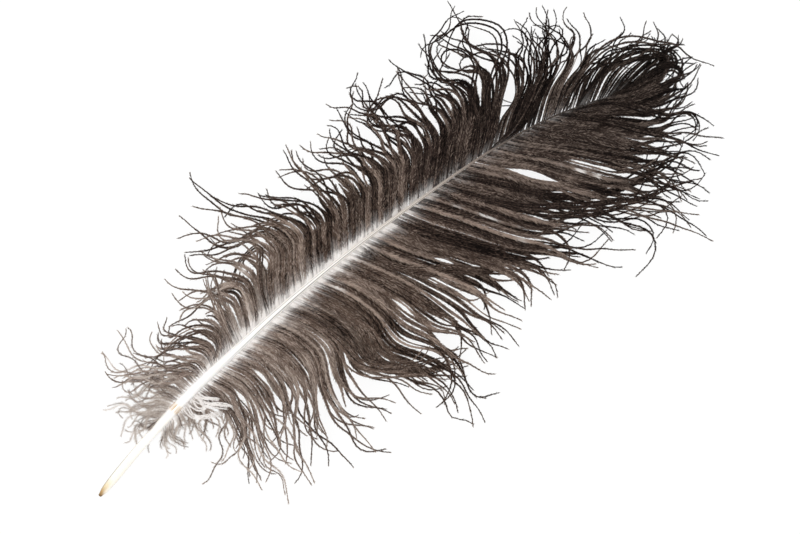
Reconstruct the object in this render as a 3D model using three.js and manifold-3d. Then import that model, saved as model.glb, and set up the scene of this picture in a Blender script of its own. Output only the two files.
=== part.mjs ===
// Ostrich feather, lying flat on a surface with its arched side up.
// Units are millimetres and +Z is up. Routes are laid out from the quill's end, with +X towards the tip
// of the plume, and at the end the whole is moved so that the origin is the middle of its footprint.
import * as THREE from 'three';
import { mergeVertices } from 'three/addons/utils/BufferGeometryUtils.js';
import Module from 'manifold-3d';

// Shaft: stations along its middle line as [x, y, height of the middle, width across].
const SHAFT_STATIONS = [
  [0, 0, 2.0, 3.8],
  [8, 2, 2.8, 5.2],
  [40, 10, 5.4, 6.0],
  [80, 18, 9.4, 6.5],
  [135, 25.4, 14.6, 5.3],
  [180, 30.4, 18.0, 4.1],
  [230, 33.2, 20.4, 3.1],
  [290, 33.7, 21.0, 2.2],
  [350, 31.8, 19.6, 1.5],
  [390, 26.4, 17.4, 1.2],
  [420, 18, 14.8, 1.0],
  [441, 12, 12.0, 0.8],
];
const SHAFT_SIDES = 8;
const SHAFT_STEPS = 21;
const SHAFT_HEIGHT_RATIO = 0.88;

// Locks of barbs: [x of the root on the shaft, then the plan route [x, y] of the lock's middle line].
const UPPER_LOCKS = [
  [64, [56, 19], [47, 23], [36, 18]],
  [71, [63, 26], [50, 31], [34, 37]],
  [81, [76, 31], [66, 40], [52, 48]],
  [90, [88, 29], [78, 40], [63, 50], [50, 57]],
  [99, [97, 31], [86, 39], [72, 50], [58, 57], [53, 74]],
  [108, [108, 33], [99, 42], [88, 52], [90, 63]],
  [118, [123, 36], [120, 45], [107, 52], [98, 58], [102, 66]],
  [128, [133, 40], [131, 52], [120, 58], [107, 66]],
  [135, [138, 42], [141, 60], [143, 77]],
  [142, [149, 40], [152, 54], [138, 65], [122, 71], [113, 84]],
  [150, [158, 42], [161, 56], [146, 68], [131, 74], [130, 91]],
  [158, [167, 44], [173, 58], [168, 71], [154, 78], [142, 86]],
  [166, [175, 45], [184, 60], [180, 74], [162, 85], [148, 93]],
  [174, [183, 45], [193, 60], [190, 76], [170, 88], [150, 100]],
  [183, [192, 46], [201, 60], [196, 76], [174, 89], [169, 104], [165, 125]],
  [192, [200, 46], [209, 60], [206, 76], [184, 92], [166, 108], [155, 119]],
  [201, [209, 46], [217, 60], [213, 78], [197, 92], [188, 104], [178, 113]],
  [210, [218, 46], [226, 60], [223, 76], [213, 90], [203, 106]],
  [219, [227, 46], [235, 60], [232, 76], [219, 94], [211, 115]],
  [228, [236, 46], [244, 60], [242, 76], [231, 94], [225, 109]],
  [237, [246, 46], [254, 60], [252, 76], [236, 94], [233, 113]],
  [247, [256, 46], [265, 60], [263, 76], [249, 90], [246, 116]],
  [257, [266, 46], [275, 60], [274, 76], [266, 94], [267, 112], [264, 125]],
  [267, [276, 46], [286, 60], [286, 76], [278, 96], [279, 118], [269, 134]],
  [277, [286, 46], [297, 60], [298, 76], [289, 94], [294, 112]],
  [286, [296, 46], [308, 60], [310, 76], [301, 96], [299, 116], [309, 127]],
  [295, [306, 46], [318, 60], [321, 76], [314, 96], [302, 110], [300, 132]],
  [304, [315, 46], [328, 60], [332, 76], [327, 98], [322, 116]],
  [313, [325, 46], [339, 60], [344, 76], [331, 102], [330, 127]],
  [322, [334, 46], [350, 60], [357, 76], [346, 98], [353, 118]],
  [332, [345, 45], [362, 59], [371, 75], [364, 98], [371, 111], [382, 111]],
  [342, [356, 44], [374, 57], [386, 74], [379, 98], [383, 118], [380, 128]],
  [352, [366, 43], [386, 56], [399, 74], [393, 94], [393, 108], [400, 114]],
  [362, [377, 42], [397, 54], [411, 70], [417, 86], [407, 98], [410, 107]],
  [372, [387, 41], [407, 52], [421, 64], [424, 80], [436, 88]],
  [382, [397, 40], [418, 50], [433, 62], [427, 80], [434, 84], [443, 75]],
  [393, [409, 37], [431, 45], [452, 50], [456, 62], [451, 72]],
  [405, [421, 34], [441, 40], [461, 41], [467, 48]],
  [418, [434, 28], [453, 31], [470, 33], [473, 42]],
  [431, [447, 19], [466, 22], [480, 25], [482, 31]],
];
const LOWER_LOCKS = [
  [67, [64, 5], [60, -8]],
  [77, [76, 5], [69, -4]],
  [86, [84, 3], [81, -8], [77, -18]],
  [93, [96, 5], [93, -10], [90, -20]],
  [98, [104, 5], [102, -14], [95, -34], [81, -50]],
  [104, [111, 5], [109, -14], [101, -34], [98, -56], [96, -72]],
  [111, [118, 5], [119, -12], [112, -34], [108, -62]],
  [118, [127, 6], [127, -14], [121, -38], [120, -64]],
  [126, [135, 7], [136, -12], [131, -34], [124, -48], [115, -59]],
  [134, [143, 8], [145, -12], [137, -34], [131, -54], [132, -74]],
  [142, [152, 9], [154, -12], [147, -36], [141, -54], [143, -77]],
  [150, [160, 10], [163, -10], [157, -34], [152, -50], [156, -70]],
  [158, [168, 11], [172, -8], [163, -30], [160, -54], [165, -75], [166, -88]],
  [168, [178, 12], [184, -8], [176, -28], [172, -44], [180, -65]],
  [179, [189, 12], [195, -10], [192, -32], [200, -48], [208, -73]],
  [188, [198, 13], [205, -8], [201, -34], [214, -54], [226, -72], [221, -88], [232, -97]],
  [197, [208, 13], [215, -8], [214, -32], [226, -50], [240, -70], [238, -88], [235, -101]],
  [206, [217, 13], [224, -8], [228, -32], [240, -52], [244, -74], [240, -90], [250, -104]],
  [215, [226, 13], [235, -8], [242, -32], [252, -54], [255, -77]],
  [224, [236, 13], [246, -8], [254, -30], [262, -54], [269, -81]],
  [232, [244, 13], [256, -7], [266, -28], [274, -54], [282, -78], [290, -96]],
  [240, [252, 13], [265, -7], [278, -28], [288, -50], [296, -70]],
  [248, [260, 13], [274, -7], [288, -28], [297, -46], [303, -59]],
  [256, [268, 13], [284, -7], [299, -27], [312, -48], [319, -68]],
  [264, [276, 13], [291, -6], [307, -26], [323, -46], [335, -66]],
  [273, [283, 17], [297, -2], [312, -22], [331, -40], [350, -58], [366, -75]],
  [282, [291, 22], [303, 5], [314, -12], [327, -29], [345, -45], [374, -70]],
  [291, [299, 23], [309, 9], [320, -7], [333, -23], [351, -40], [374, -68], [384, -90]],
  [300, [307, 22], [320, 6], [331, -11], [346, -28], [364, -42], [384, -59], [399, -73]],
  [310, [318, 23], [332, 7], [344, -9], [357, -25], [375, -42], [394, -81]],
  [320, [328, 24], [341, 10], [352, -6], [365, -24], [383, -43], [401, -62], [411, -90]],
  [330, [338, 24], [350, 11], [363, -6], [378, -24], [397, -43], [417, -64], [432, -87]],
  [341, [350, 22], [364, 7], [377, -9], [391, -27], [410, -45], [429, -62], [442, -80]],
  [352, [361, 21], [375, 7], [389, -9], [403, -25], [422, -43], [445, -65]],
  [363, [373, 18], [388, 4], [403, -12], [420, -30], [440, -48], [459, -63]],
  [375, [385, 17], [400, 4], [414, -11], [429, -26], [446, -40], [462, -54]],
  [387, [399, 14], [416, 1], [433, -15], [447, -19], [461, -24], [471, -40]],
  [400, [417, 10], [436, 0], [456, -10], [474, -10], [485, -4]],
  [414, [431, 8], [450, 1], [470, 0], [484, 9]],
  [428, [444, 9], [464, 8], [486, 15]],
];

// Lock section: a flat diamond, widest over the first part of its length and drawn out to a thin tip.
const LOCK_WIDTH = 10.8;
const LOCK_TIP_WIDTH = 1.5;
const LOCK_THICKNESS = 2.6;
const LOCK_TIP_THICKNESS = 1.1;
const LOCK_FULL_UNTIL = 0.4;
const LOCK_TAPER_POWER = 0.75;
const LOCK_LEAST_SLENDERNESS = 3;
const LOCK_SIDES = 4;
const LOCK_EXTRA_STEPS = 2;

// Heights: each lock rises from the shaft and droops to its tip, in a repeating set of layers.
const LOCK_LIFTS = [4, 9, 6, 12, 5, 10, 3];
const LENGTH_TO_MOST_LIFT = 8;
const TIP_HEIGHTS = [0, 7, 0, 12, 3];

const FEATHER_COLOUR = 0x5e534c;
const FEATHER_ROUGHNESS = 0.85;

const MERGE_DISTANCE = 1e-5;
const SHAFT_SAMPLES = 400;

const wasm = await Module();
wasm.setup();

// Smooth curve through the shaft's stations, which gives a point on its middle line for any x.
const shaftCurve = new THREE.CatmullRomCurve3(
  SHAFT_STATIONS.map(([x, y, z]) => new THREE.Vector3(x, y, z)), false, 'centripetal');
const shaftSamples = shaftCurve.getPoints(SHAFT_SAMPLES);

function shaftPointAt(x) {
  const next = Math.max(1, shaftSamples.findIndex((point) => point.x >= x));
  const before = shaftSamples[next - 1];
  const after = shaftSamples[next];
  return before.clone().lerp(after, (x - before.x) / (after.x - before.x));
}

function shaftWidthAt(x) {
  const next = SHAFT_STATIONS.findIndex((station) => station[0] >= x);
  if (next <= 0) {
    return SHAFT_STATIONS[0][3];
  }
  const [x0, , , w0] = SHAFT_STATIONS[next - 1];
  const [x1, , , w1] = SHAFT_STATIONS[next];
  return THREE.MathUtils.mapLinear(x, x0, x1, w0, w1);
}

// Closed solid from rings of points in order, each ring anticlockwise seen from the end of the route.
function solidFromRings(rings) {
  const sides = rings[0].length;
  const faces = [];
  for (let ring = 0; ring + 1 < rings.length; ring += 1) {
    for (let side = 0; side < sides; side += 1) {
      const here = ring * sides + side;
      const beside = ring * sides + (side + 1) % sides;
      faces.push(here, beside, here + sides);
      faces.push(beside, beside + sides, here + sides);
    }
  }
  const last = (rings.length - 1) * sides;
  for (let side = 1; side + 1 < sides; side += 1) {
    faces.push(0, side + 1, side);
    faces.push(last, last + side, last + side + 1);
  }
  const geometry = new THREE.BufferGeometry();
  geometry.setFromPoints(rings.flat());
  geometry.setIndex(faces);
  const merged = mergeVertices(geometry, MERGE_DISTANCE);
  return new wasm.Manifold(new wasm.Mesh({
    numProp: 3,
    vertProperties: new Float32Array(merged.attributes.position.array),
    triVerts: new Uint32Array(merged.index.array),
  }));
}

// Ring of section points around a centre, square to the plan direction of the route.
function sectionRing(centre, direction, halfWidth, halfHeight, sides) {
  const across = new THREE.Vector3(-direction.y, direction.x, 0).normalize();
  const ring = [];
  for (let side = 0; side < sides; side += 1) {
    const angle = (2 * Math.PI * side) / sides;
    const point = centre.clone().addScaledVector(across, halfWidth * Math.cos(angle));
    point.z += halfHeight * Math.sin(angle);
    ring.push(point);
  }
  return ring;
}

function makeShaft() {
  const rings = [];
  const ringTurn = Math.PI / SHAFT_SIDES;
  for (let step = 0; step <= SHAFT_STEPS; step += 1) {
    const along = step / SHAFT_STEPS;
    const centre = shaftCurve.getPointAt(along);
    const direction = shaftCurve.getTangentAt(along);
    const halfWidth = shaftWidthAt(centre.x) / 2 / Math.cos(ringTurn);
    rings.push(sectionRing(centre, direction, halfWidth, halfWidth * SHAFT_HEIGHT_RATIO, SHAFT_SIDES));
  }
  return solidFromRings(rings);
}

// Lock's half size across at a share of its length: full near the root, then drawn out evenly.
function taper(along, full, tip) {
  const drawn = THREE.MathUtils.smoothstep(along, LOCK_FULL_UNTIL, 1);
  return THREE.MathUtils.lerp(full, tip, Math.pow(drawn, LOCK_TAPER_POWER)) / 2;
}

// Distance walked along the plan route from the root to each of its points.
function planDistances(points) {
  const distances = [0];
  for (let index = 1; index < points.length; index += 1) {
    const from = points[index - 1];
    const to = points[index];
    distances.push(distances[index - 1] + Math.hypot(to.x - from.x, to.y - from.y));
  }
  return distances;
}

// One lock: it leaves the shaft's middle, arches over by its lift and comes down to its tip's height,
// and where it would reach below the surface it lies on it.
function makeLock([rootX, ...route], order) {
  const root = shaftPointAt(rootX);
  const points = [root, ...route.map(([x, y]) => new THREE.Vector3(x, y, 0))];
  const distances = planDistances(points);
  const total = distances.at(-1);
  const lift = Math.min(LOCK_LIFTS[order % LOCK_LIFTS.length], total / LENGTH_TO_MOST_LIFT);
  const tipHeight = Math.min(TIP_HEIGHTS[order % TIP_HEIGHTS.length], root.z);
  points.forEach((point, index) => {
    const along = distances[index] / total;
    const fall = THREE.MathUtils.lerp(root.z, tipHeight, THREE.MathUtils.smoothstep(along, 0, 1));
    point.z = fall + 4 * lift * along * (1 - along);
  });
  const curve = new THREE.CatmullRomCurve3(points, false, 'centripetal');
  const fullWidth = Math.min(LOCK_WIDTH, total / LOCK_LEAST_SLENDERNESS);
  const steps = route.length + LOCK_EXTRA_STEPS;
  const rings = [];
  for (let step = 0; step <= steps; step += 1) {
    const along = step / steps;
    const halfHeight = taper(along, LOCK_THICKNESS, LOCK_TIP_THICKNESS);
    const halfWidth = taper(along, fullWidth, LOCK_TIP_WIDTH);
    const centre = curve.getPointAt(along);
    centre.z = Math.max(centre.z, halfHeight);
    rings.push(sectionRing(centre, curve.getTangentAt(along), halfWidth, halfHeight, LOCK_SIDES));
  }
  return solidFromRings(rings);
}

function makeFeather() {
  const locks = [...UPPER_LOCKS, ...LOWER_LOCKS].map(makeLock);
  const solid = locks.reduce((whole, lock) => whole.add(lock), makeShaft());
  const mesh = solid.getMesh();
  const geometry = new THREE.BufferGeometry();
  geometry.setAttribute('position', new THREE.BufferAttribute(mesh.vertProperties, 3));
  geometry.setIndex(new THREE.BufferAttribute(mesh.triVerts, 1));
  geometry.computeBoundingBox();
  const { min, max } = geometry.boundingBox;
  geometry.translate(-(min.x + max.x) / 2, -(min.y + max.y) / 2, -min.z);
  return geometry;
}

const feather = new THREE.Mesh(
  makeFeather(),
  new THREE.MeshStandardMaterial({ color: FEATHER_COLOUR, roughness: FEATHER_ROUGHNESS, metalness: 0 }));
feather.name = 'feather';

const part = new THREE.Group();
part.add(feather);

export default part;
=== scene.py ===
"""Ostrich feather lying on a pale floor: a keratin shaft and two vanes of downy barbs.

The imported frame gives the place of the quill's end. Everything else is laid out from there in
millimetres, with +X towards the tip of the plume, and turned into the frame's metres at the end.
"""
import logging
import math
from dataclasses import dataclass, field, fields, replace
from enum import Enum

import bpy
import numpy as np
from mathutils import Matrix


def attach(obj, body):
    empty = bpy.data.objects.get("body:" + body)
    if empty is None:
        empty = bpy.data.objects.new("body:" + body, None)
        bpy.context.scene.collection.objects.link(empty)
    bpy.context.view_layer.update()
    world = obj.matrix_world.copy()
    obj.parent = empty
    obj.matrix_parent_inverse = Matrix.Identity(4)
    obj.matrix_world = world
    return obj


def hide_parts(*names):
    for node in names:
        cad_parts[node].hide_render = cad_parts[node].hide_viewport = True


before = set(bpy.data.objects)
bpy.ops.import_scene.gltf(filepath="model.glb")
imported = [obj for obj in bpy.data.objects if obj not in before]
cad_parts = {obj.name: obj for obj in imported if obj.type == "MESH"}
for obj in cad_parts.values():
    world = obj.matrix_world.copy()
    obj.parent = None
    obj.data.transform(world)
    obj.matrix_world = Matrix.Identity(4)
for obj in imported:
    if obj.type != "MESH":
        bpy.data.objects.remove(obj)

Array = np.ndarray

MM = 0.001
NODE = "feather"
BODY = "root"
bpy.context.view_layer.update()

log = logging.getLogger("feather")

# Shaft stations: x, y, height of the middle, width across, in millimetres from the quill's end.
SHAFT_STATIONS = (
    (0, 0, 2.0, 3.8),
    (8, 2, 2.8, 5.2),
    (40, 10, 5.4, 6.0),
    (80, 18, 9.4, 6.5),
    (135, 25.4, 14.6, 5.3),
    (180, 30.4, 18.0, 4.1),
    (230, 33.2, 20.4, 3.1),
    (290, 33.7, 21.0, 2.2),
    (350, 31.8, 19.6, 1.5),
    (390, 26.4, 17.4, 1.2),
    (420, 18, 14.8, 1.0),
    (441, 12, 12.0, 0.8),
)

# Locks: x of the root on the shaft, then the plan route (x, y) of the lock's middle line.
LEFT_LOCKS = (
    (64, (56, 19), (47, 23), (36, 18)),
    (71, (63, 26), (50, 31), (34, 37)),
    (81, (76, 31), (66, 40), (52, 48)),
    (90, (88, 29), (78, 40), (63, 50), (50, 57)),
    (99, (97, 31), (86, 39), (72, 50), (58, 57), (53, 74)),
    (108, (108, 33), (99, 42), (88, 52), (90, 63)),
    (118, (123, 36), (120, 45), (107, 52), (98, 58), (102, 66)),
    (128, (133, 40), (131, 52), (120, 58), (107, 66)),
    (135, (138, 42), (141, 60), (143, 77)),
    (142, (149, 40), (152, 54), (138, 65), (122, 71), (113, 84)),
    (150, (158, 42), (161, 56), (146, 68), (131, 74), (130, 91)),
    (158, (167, 44), (173, 58), (168, 71), (154, 78), (142, 86)),
    (166, (175, 45), (184, 60), (180, 74), (162, 85), (148, 93)),
    (174, (183, 45), (193, 60), (190, 76), (170, 88), (150, 100)),
    (183, (192, 46), (201, 60), (196, 76), (174, 89), (169, 104), (165, 125)),
    (192, (200, 46), (209, 60), (206, 76), (184, 92), (166, 108), (155, 119)),
    (201, (209, 46), (217, 60), (213, 78), (197, 92), (188, 104), (178, 113)),
    (210, (218, 46), (226, 60), (223, 76), (213, 90), (203, 106)),
    (219, (227, 46), (235, 60), (232, 76), (219, 94), (211, 115)),
    (228, (236, 46), (244, 60), (242, 76), (231, 94), (225, 109)),
    (237, (246, 46), (254, 60), (252, 76), (236, 94), (233, 113)),
    (247, (256, 46), (265, 60), (263, 76), (249, 90), (246, 116)),
    (257, (266, 46), (275, 60), (274, 76), (266, 94), (267, 112), (264, 125)),
    (267, (276, 46), (286, 60), (286, 76), (278, 96), (279, 118), (269, 134)),
    (277, (286, 46), (297, 60), (298, 76), (289, 94), (294, 112)),
    (286, (296, 46), (308, 60), (310, 76), (301, 96), (299, 116), (309, 127)),
    (295, (306, 46), (318, 60), (321, 76), (314, 96), (302, 110), (300, 132)),
    (304, (315, 46), (328, 60), (332, 76), (327, 98), (322, 116)),
    (313, (325, 46), (339, 60), (344, 76), (331, 102), (330, 127)),
    (322, (334, 46), (350, 60), (357, 76), (346, 98), (353, 118)),
    (332, (345, 45), (362, 59), (371, 75), (364, 98), (371, 111), (382, 111)),
    (342, (356, 44), (374, 57), (386, 74), (379, 98), (383, 118), (380, 128)),
    (352, (366, 43), (386, 56), (399, 74), (393, 94), (393, 108), (400, 114)),
    (362, (377, 42), (397, 54), (411, 70), (417, 86), (407, 98), (410, 107)),
    (372, (387, 41), (407, 52), (421, 64), (424, 80), (436, 88)),
    (382, (397, 40), (418, 50), (433, 62), (427, 80), (434, 84), (443, 75)),
    (393, (409, 37), (431, 45), (452, 50), (456, 62), (451, 72)),
    (405, (421, 34), (441, 40), (461, 41), (467, 48)),
    (418, (434, 28), (453, 31), (470, 33), (473, 42)),
    (431, (447, 19), (466, 22), (480, 25), (482, 31)),
)
RIGHT_LOCKS = (
    (67, (64, 5), (60, -8)),
    (77, (76, 5), (69, -4)),
    (86, (84, 3), (81, -8), (77, -18)),
    (93, (96, 5), (93, -10), (90, -20)),
    (98, (104, 5), (102, -14), (95, -34), (81, -50)),
    (104, (111, 5), (109, -14), (101, -34), (98, -56), (96, -72)),
    (111, (118, 5), (119, -12), (112, -34), (108, -62)),
    (118, (127, 6), (127, -14), (121, -38), (120, -64)),
    (126, (135, 7), (136, -12), (131, -34), (124, -48), (115, -59)),
    (134, (143, 8), (145, -12), (137, -34), (131, -54), (132, -74)),
    (142, (152, 9), (154, -12), (147, -36), (141, -54), (143, -77)),
    (150, (160, 10), (163, -10), (157, -34), (152, -50), (156, -70)),
    (158, (168, 11), (172, -8), (163, -30), (160, -54), (165, -75), (166, -88)),
    (168, (178, 12), (184, -8), (176, -28), (172, -44), (180, -65)),
    (179, (189, 12), (195, -10), (192, -32), (200, -48), (208, -73)),
    (188, (198, 13), (205, -8), (201, -34), (214, -54), (226, -72), (221, -88), (232, -97)),
    (197, (208, 13), (215, -8), (214, -32), (226, -50), (240, -70), (238, -88), (235, -101)),
    (206, (217, 13), (224, -8), (228, -32), (240, -52), (244, -74), (240, -90), (250, -104)),
    (215, (226, 13), (235, -8), (242, -32), (252, -54), (255, -77)),
    (224, (236, 13), (246, -8), (254, -30), (262, -54), (269, -81)),
    (232, (244, 13), (256, -7), (266, -28), (274, -54), (282, -78), (290, -96)),
    (240, (252, 13), (265, -7), (278, -28), (288, -50), (296, -70)),
    (248, (260, 13), (274, -7), (288, -28), (297, -46), (303, -59)),
    (256, (268, 13), (284, -7), (299, -27), (312, -48), (319, -68)),
    (264, (276, 13), (291, -6), (307, -26), (323, -46), (335, -66)),
    (273, (283, 17), (297, -2), (312, -22), (331, -40), (350, -58), (366, -75)),
    (282, (291, 22), (303, 5), (314, -12), (327, -29), (345, -45), (374, -70)),
    (291, (299, 23), (309, 9), (320, -7), (333, -23), (351, -40), (374, -68), (384, -90)),
    (300, (307, 22), (320, 6), (331, -11), (346, -28), (364, -42), (384, -59), (399, -73)),
    (310, (318, 23), (332, 7), (344, -9), (357, -25), (375, -42), (394, -81)),
    (320, (328, 24), (341, 10), (352, -6), (365, -24), (383, -43), (401, -62), (411, -90)),
    (330, (338, 24), (350, 11), (363, -6), (378, -24), (397, -43), (417, -64), (432, -87)),
    (341, (350, 22), (364, 7), (377, -9), (391, -27), (410, -45), (429, -62), (442, -80)),
    (352, (361, 21), (375, 7), (389, -9), (403, -25), (422, -43), (445, -65)),
    (363, (373, 18), (388, 4), (403, -12), (420, -30), (440, -48), (459, -63)),
    (375, (385, 17), (400, 4), (414, -11), (429, -26), (446, -40), (462, -54)),
    (387, (399, 14), (416, 1), (433, -15), (447, -19), (461, -24), (471, -40)),
    (400, (417, 10), (436, 0), (456, -10), (474, -10), (485, -4)),
    (414, (431, 8), (450, 1), (470, 0), (484, 9)),
    (428, (444, 9), (464, 8), (486, 15)),
)

# Each lock rises from the shaft and droops to its tip, in a repeating set of layers, as the solids do.
LOCK_LIFTS = (4, 9, 6, 12, 5, 10, 3)
TIP_HEIGHTS = (0, 7, 0, 12, 3)
LENGTH_TO_MOST_LIFT = 8


class Side(Enum):
    """Side of the shaft, looking from the quill's end towards the tip."""

    LEFT = 1
    RIGHT = -1


class Band(Enum):
    """Stretch of a vane, by where its barbs are rooted: (first x, last x) in millimetres."""

    DOWN = (0, 112)
    LOW = (112, 190)
    MIDDLE = (190, 275)
    HIGH = (275, 360)
    TIP = (360, 500)


# ---------------------------------------------------------------------------------------------
# Curves and meshes
# ---------------------------------------------------------------------------------------------


def smoothstep(low: float, high: float, value: Array) -> Array:
    """Ease from 0 at low to 1 at high, flat at both ends."""
    share = np.clip((value - low) / (high - low), 0, 1)
    return share * share * (3 - 2 * share)


def smooth_route(points: Array, count: int) -> Array:
    """Cubic through every point, its slope there the mean of the chords beside it, respaced evenly.

    Args:
        points: the route's points, one a row.
        count: how many points to return.

    Returns:
        The points of the smooth route, the same distance apart, one a row.
    """
    knots = np.r_[0, np.cumsum(np.linalg.norm(np.diff(points, axis=0), axis=1))]
    slopes = np.gradient(points, knots, axis=0)
    fine = np.linspace(0, knots[-1], 12 * count)
    at = np.clip(np.searchsorted(knots, fine, side="right") - 1, 0, len(knots) - 2)
    span = np.diff(knots)[at][:, None]
    u = (fine - knots[at])[:, None] / span
    curve = (
        (1 + 2 * u) * (1 - u) ** 2 * points[at]
        + u * (1 - u) ** 2 * span * slopes[at]
        + u**2 * (3 - 2 * u) * points[at + 1]
        - u**2 * (1 - u) * span * slopes[at + 1]
    )
    walked = np.r_[0, np.cumsum(np.linalg.norm(np.diff(curve, axis=0), axis=1))]
    even = np.linspace(0, walked[-1], count)
    return np.stack([np.interp(even, walked, column) for column in curve.T], 1)


def unit(vectors: Array) -> Array:
    """Vectors of length one in the same directions."""
    return vectors / np.maximum(np.linalg.norm(vectors, axis=-1, keepdims=True), 1e-9)


def along_strands(strands: Array, index: Array, share: Array) -> tuple[Array, Array]:
    """Point and direction at a share of the length of chosen strands, straight between samples.

    Args:
        strands: sampled strands, strand by sample by axis.
        index: the strand each result is on.
        share: how far along it, from 0 to 1.

    Returns:
        The points, and the unit directions of the strand there.
    """
    place = np.clip(share, 0, 1) * (strands.shape[1] - 1)
    before = np.minimum(place.astype(int), strands.shape[1] - 2)
    part = (place - before)[:, None]
    start, end = strands[index, before], strands[index, before + 1]
    return start + (end - start) * part, unit(end - start)


def end_to_end(things: list) -> object:
    """Join dataclasses that hold arrays.

    Args:
        things: instances of one dataclass.

    Returns:
        One instance whose arrays are theirs end to end.
    """
    kind = type(things[0])
    return kind(*(np.concatenate([getattr(thing, entry.name) for thing in things]) for entry in fields(kind)))


@dataclass(frozen=True)
class Sheet:
    """Points, face corners and values of one mesh, ready to go into Blender."""

    points: Array
    corners: Array
    sides: Array
    corner_uv: Array
    strand: Array
    place: Array

    @staticmethod
    def joined(sheets: list["Sheet"]) -> "Sheet":
        """Join several meshes.

        Args:
            sheets: the meshes.

        Returns:
            All of them as one, with the later ones' corners counted on.
        """
        shift = np.cumsum([0] + [len(sheet.points) for sheet in sheets[:-1]])
        return end_to_end([replace(sheet, corners=sheet.corners + by) for sheet, by in zip(sheets, shift)])

    def triangles(self) -> int:
        """How many triangles the faces count as."""
        return int((self.sides - 2).sum())

    def to_object(self, name: str, origin: Array, smooth: bool) -> bpy.types.Object:
        """Put the mesh into the scene.

        Args:
            name: the object's name.
            origin: the quill's end in the row frame, in metres.
            smooth: True for smooth shading.

        Returns:
            The new object, at the origin with its place in its mesh.
        """
        mesh = bpy.data.meshes.new(name)
        mesh.vertices.add(len(self.points))
        mesh.vertices.foreach_set("co", (self.points * MM + origin).astype(np.float32).ravel())
        mesh.loops.add(len(self.corners))
        mesh.loops.foreach_set("vertex_index", self.corners.astype(np.int32))
        mesh.polygons.add(len(self.sides))
        starts = np.cumsum(self.sides) - self.sides
        mesh.polygons.foreach_set("loop_start", starts.astype(np.int32))
        mesh.polygons.foreach_set("use_smooth", np.full(len(self.sides), smooth))
        mesh.update(calc_edges=True)
        layer = mesh.uv_layers.new(name="OFBake")
        layer.uv.foreach_set("vector", self.corner_uv.astype(np.float32).ravel())
        for key, values in (("strand", self.strand), ("place", self.place)):
            attribute = mesh.attributes.new(key, "FLOAT_VECTOR", "POINT")
            attribute.data.foreach_set("vector", values.astype(np.float32).ravel())
        thing = bpy.data.objects.new(name, mesh)
        bpy.context.scene.collection.objects.link(thing)
        return thing


# ---------------------------------------------------------------------------------------------
# Finishes
# ---------------------------------------------------------------------------------------------


def linear(hex_colour: str) -> tuple[float, float, float, float]:
    """Turn an sRGB colour into the linear one that Blender's sockets hold.

    Args:
        hex_colour: six hex digits such as "a0b1c2".

    Returns:
        Linear red, green and blue, and a full alpha.
    """
    levels = [int(hex_colour[at : at + 2], 16) / 255 for at in (0, 2, 4)]
    bright = [v / 12.92 if v <= 0.04045 else ((v + 0.055) / 1.055) ** 2.4 for v in levels]
    return (*bright, 1.0)


def add(
    tree: bpy.types.NodeTree, kind: str, links: dict | None = None, stops: tuple = (), **settings: object
) -> bpy.types.Node:
    """Add one node.

    Args:
        tree: the node tree.
        kind: the node's type name without its ShaderNode beginning.
        links: input name or number to the socket that feeds it, or the value it holds.
        stops: (place, hex colour) pairs of a colour ramp.
        settings: the node's own properties.

    Returns:
        The node.
    """
    node = tree.nodes.new("ShaderNode" + kind)
    for key, value in settings.items():
        setattr(node, key, value)
    for _ in stops[2:]:
        node.color_ramp.elements.new(0.5)
    for number, (place, colour) in enumerate(stops):
        node.color_ramp.elements[number].position = place
        node.color_ramp.elements[number].color = linear(colour)
    for key, value in (links or {}).items():
        if isinstance(value, bpy.types.NodeSocket):
            tree.links.new(value, node.inputs[key])
        else:
            node.inputs[key].default_value = value
    return node


def painted(tree: bpy.types.NodeTree, colour: bpy.types.NodeSocket, layers: tuple) -> bpy.types.NodeSocket:
    """Paint layers over a colour, each through the product of its smooth steps.

    Args:
        tree: the node tree.
        colour: the colour below the layers.
        layers: pairs of a colour or hex colour and its steps. A step is a value, where it starts and
            where it ends, then what it gives at each of the two, which is 0 and 1 where left out.

    Returns:
        The colour on top.
    """
    for over, steps in layers:
        mask = 1.0
        for value, low, high, *given in steps:
            at_low, at_high = given or (0.0, 1.0)
            span = {"Value": value, "From Min": low, "From Max": high, "To Min": at_low, "To Max": at_high}
            step = add(tree, "MapRange", span, interpolation_type="SMOOTHSTEP").outputs["Result"]
            mask = add(tree, "Math", {0: mask, 1: step}, operation="MULTIPLY").outputs[0]
        top = linear(over) if isinstance(over, str) else over
        colour = add(tree, "Mix", {0: mask, 6: colour, 7: top}, data_type="RGBA").outputs[2]
    return colour


def principled(name: str, settings: dict) -> tuple[bpy.types.Material, bpy.types.Node]:
    """Make a material with plain settings.

    Args:
        name: its name.
        settings: input of the Principled shader to the value it holds.

    Returns:
        The material and its shader.
    """
    material = bpy.data.materials.new(name)
    material.use_nodes = True
    shader = material.node_tree.nodes["Principled BSDF"]
    for key, value in settings.items():
        shader.inputs[key].default_value = value
    return material, shader


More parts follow.
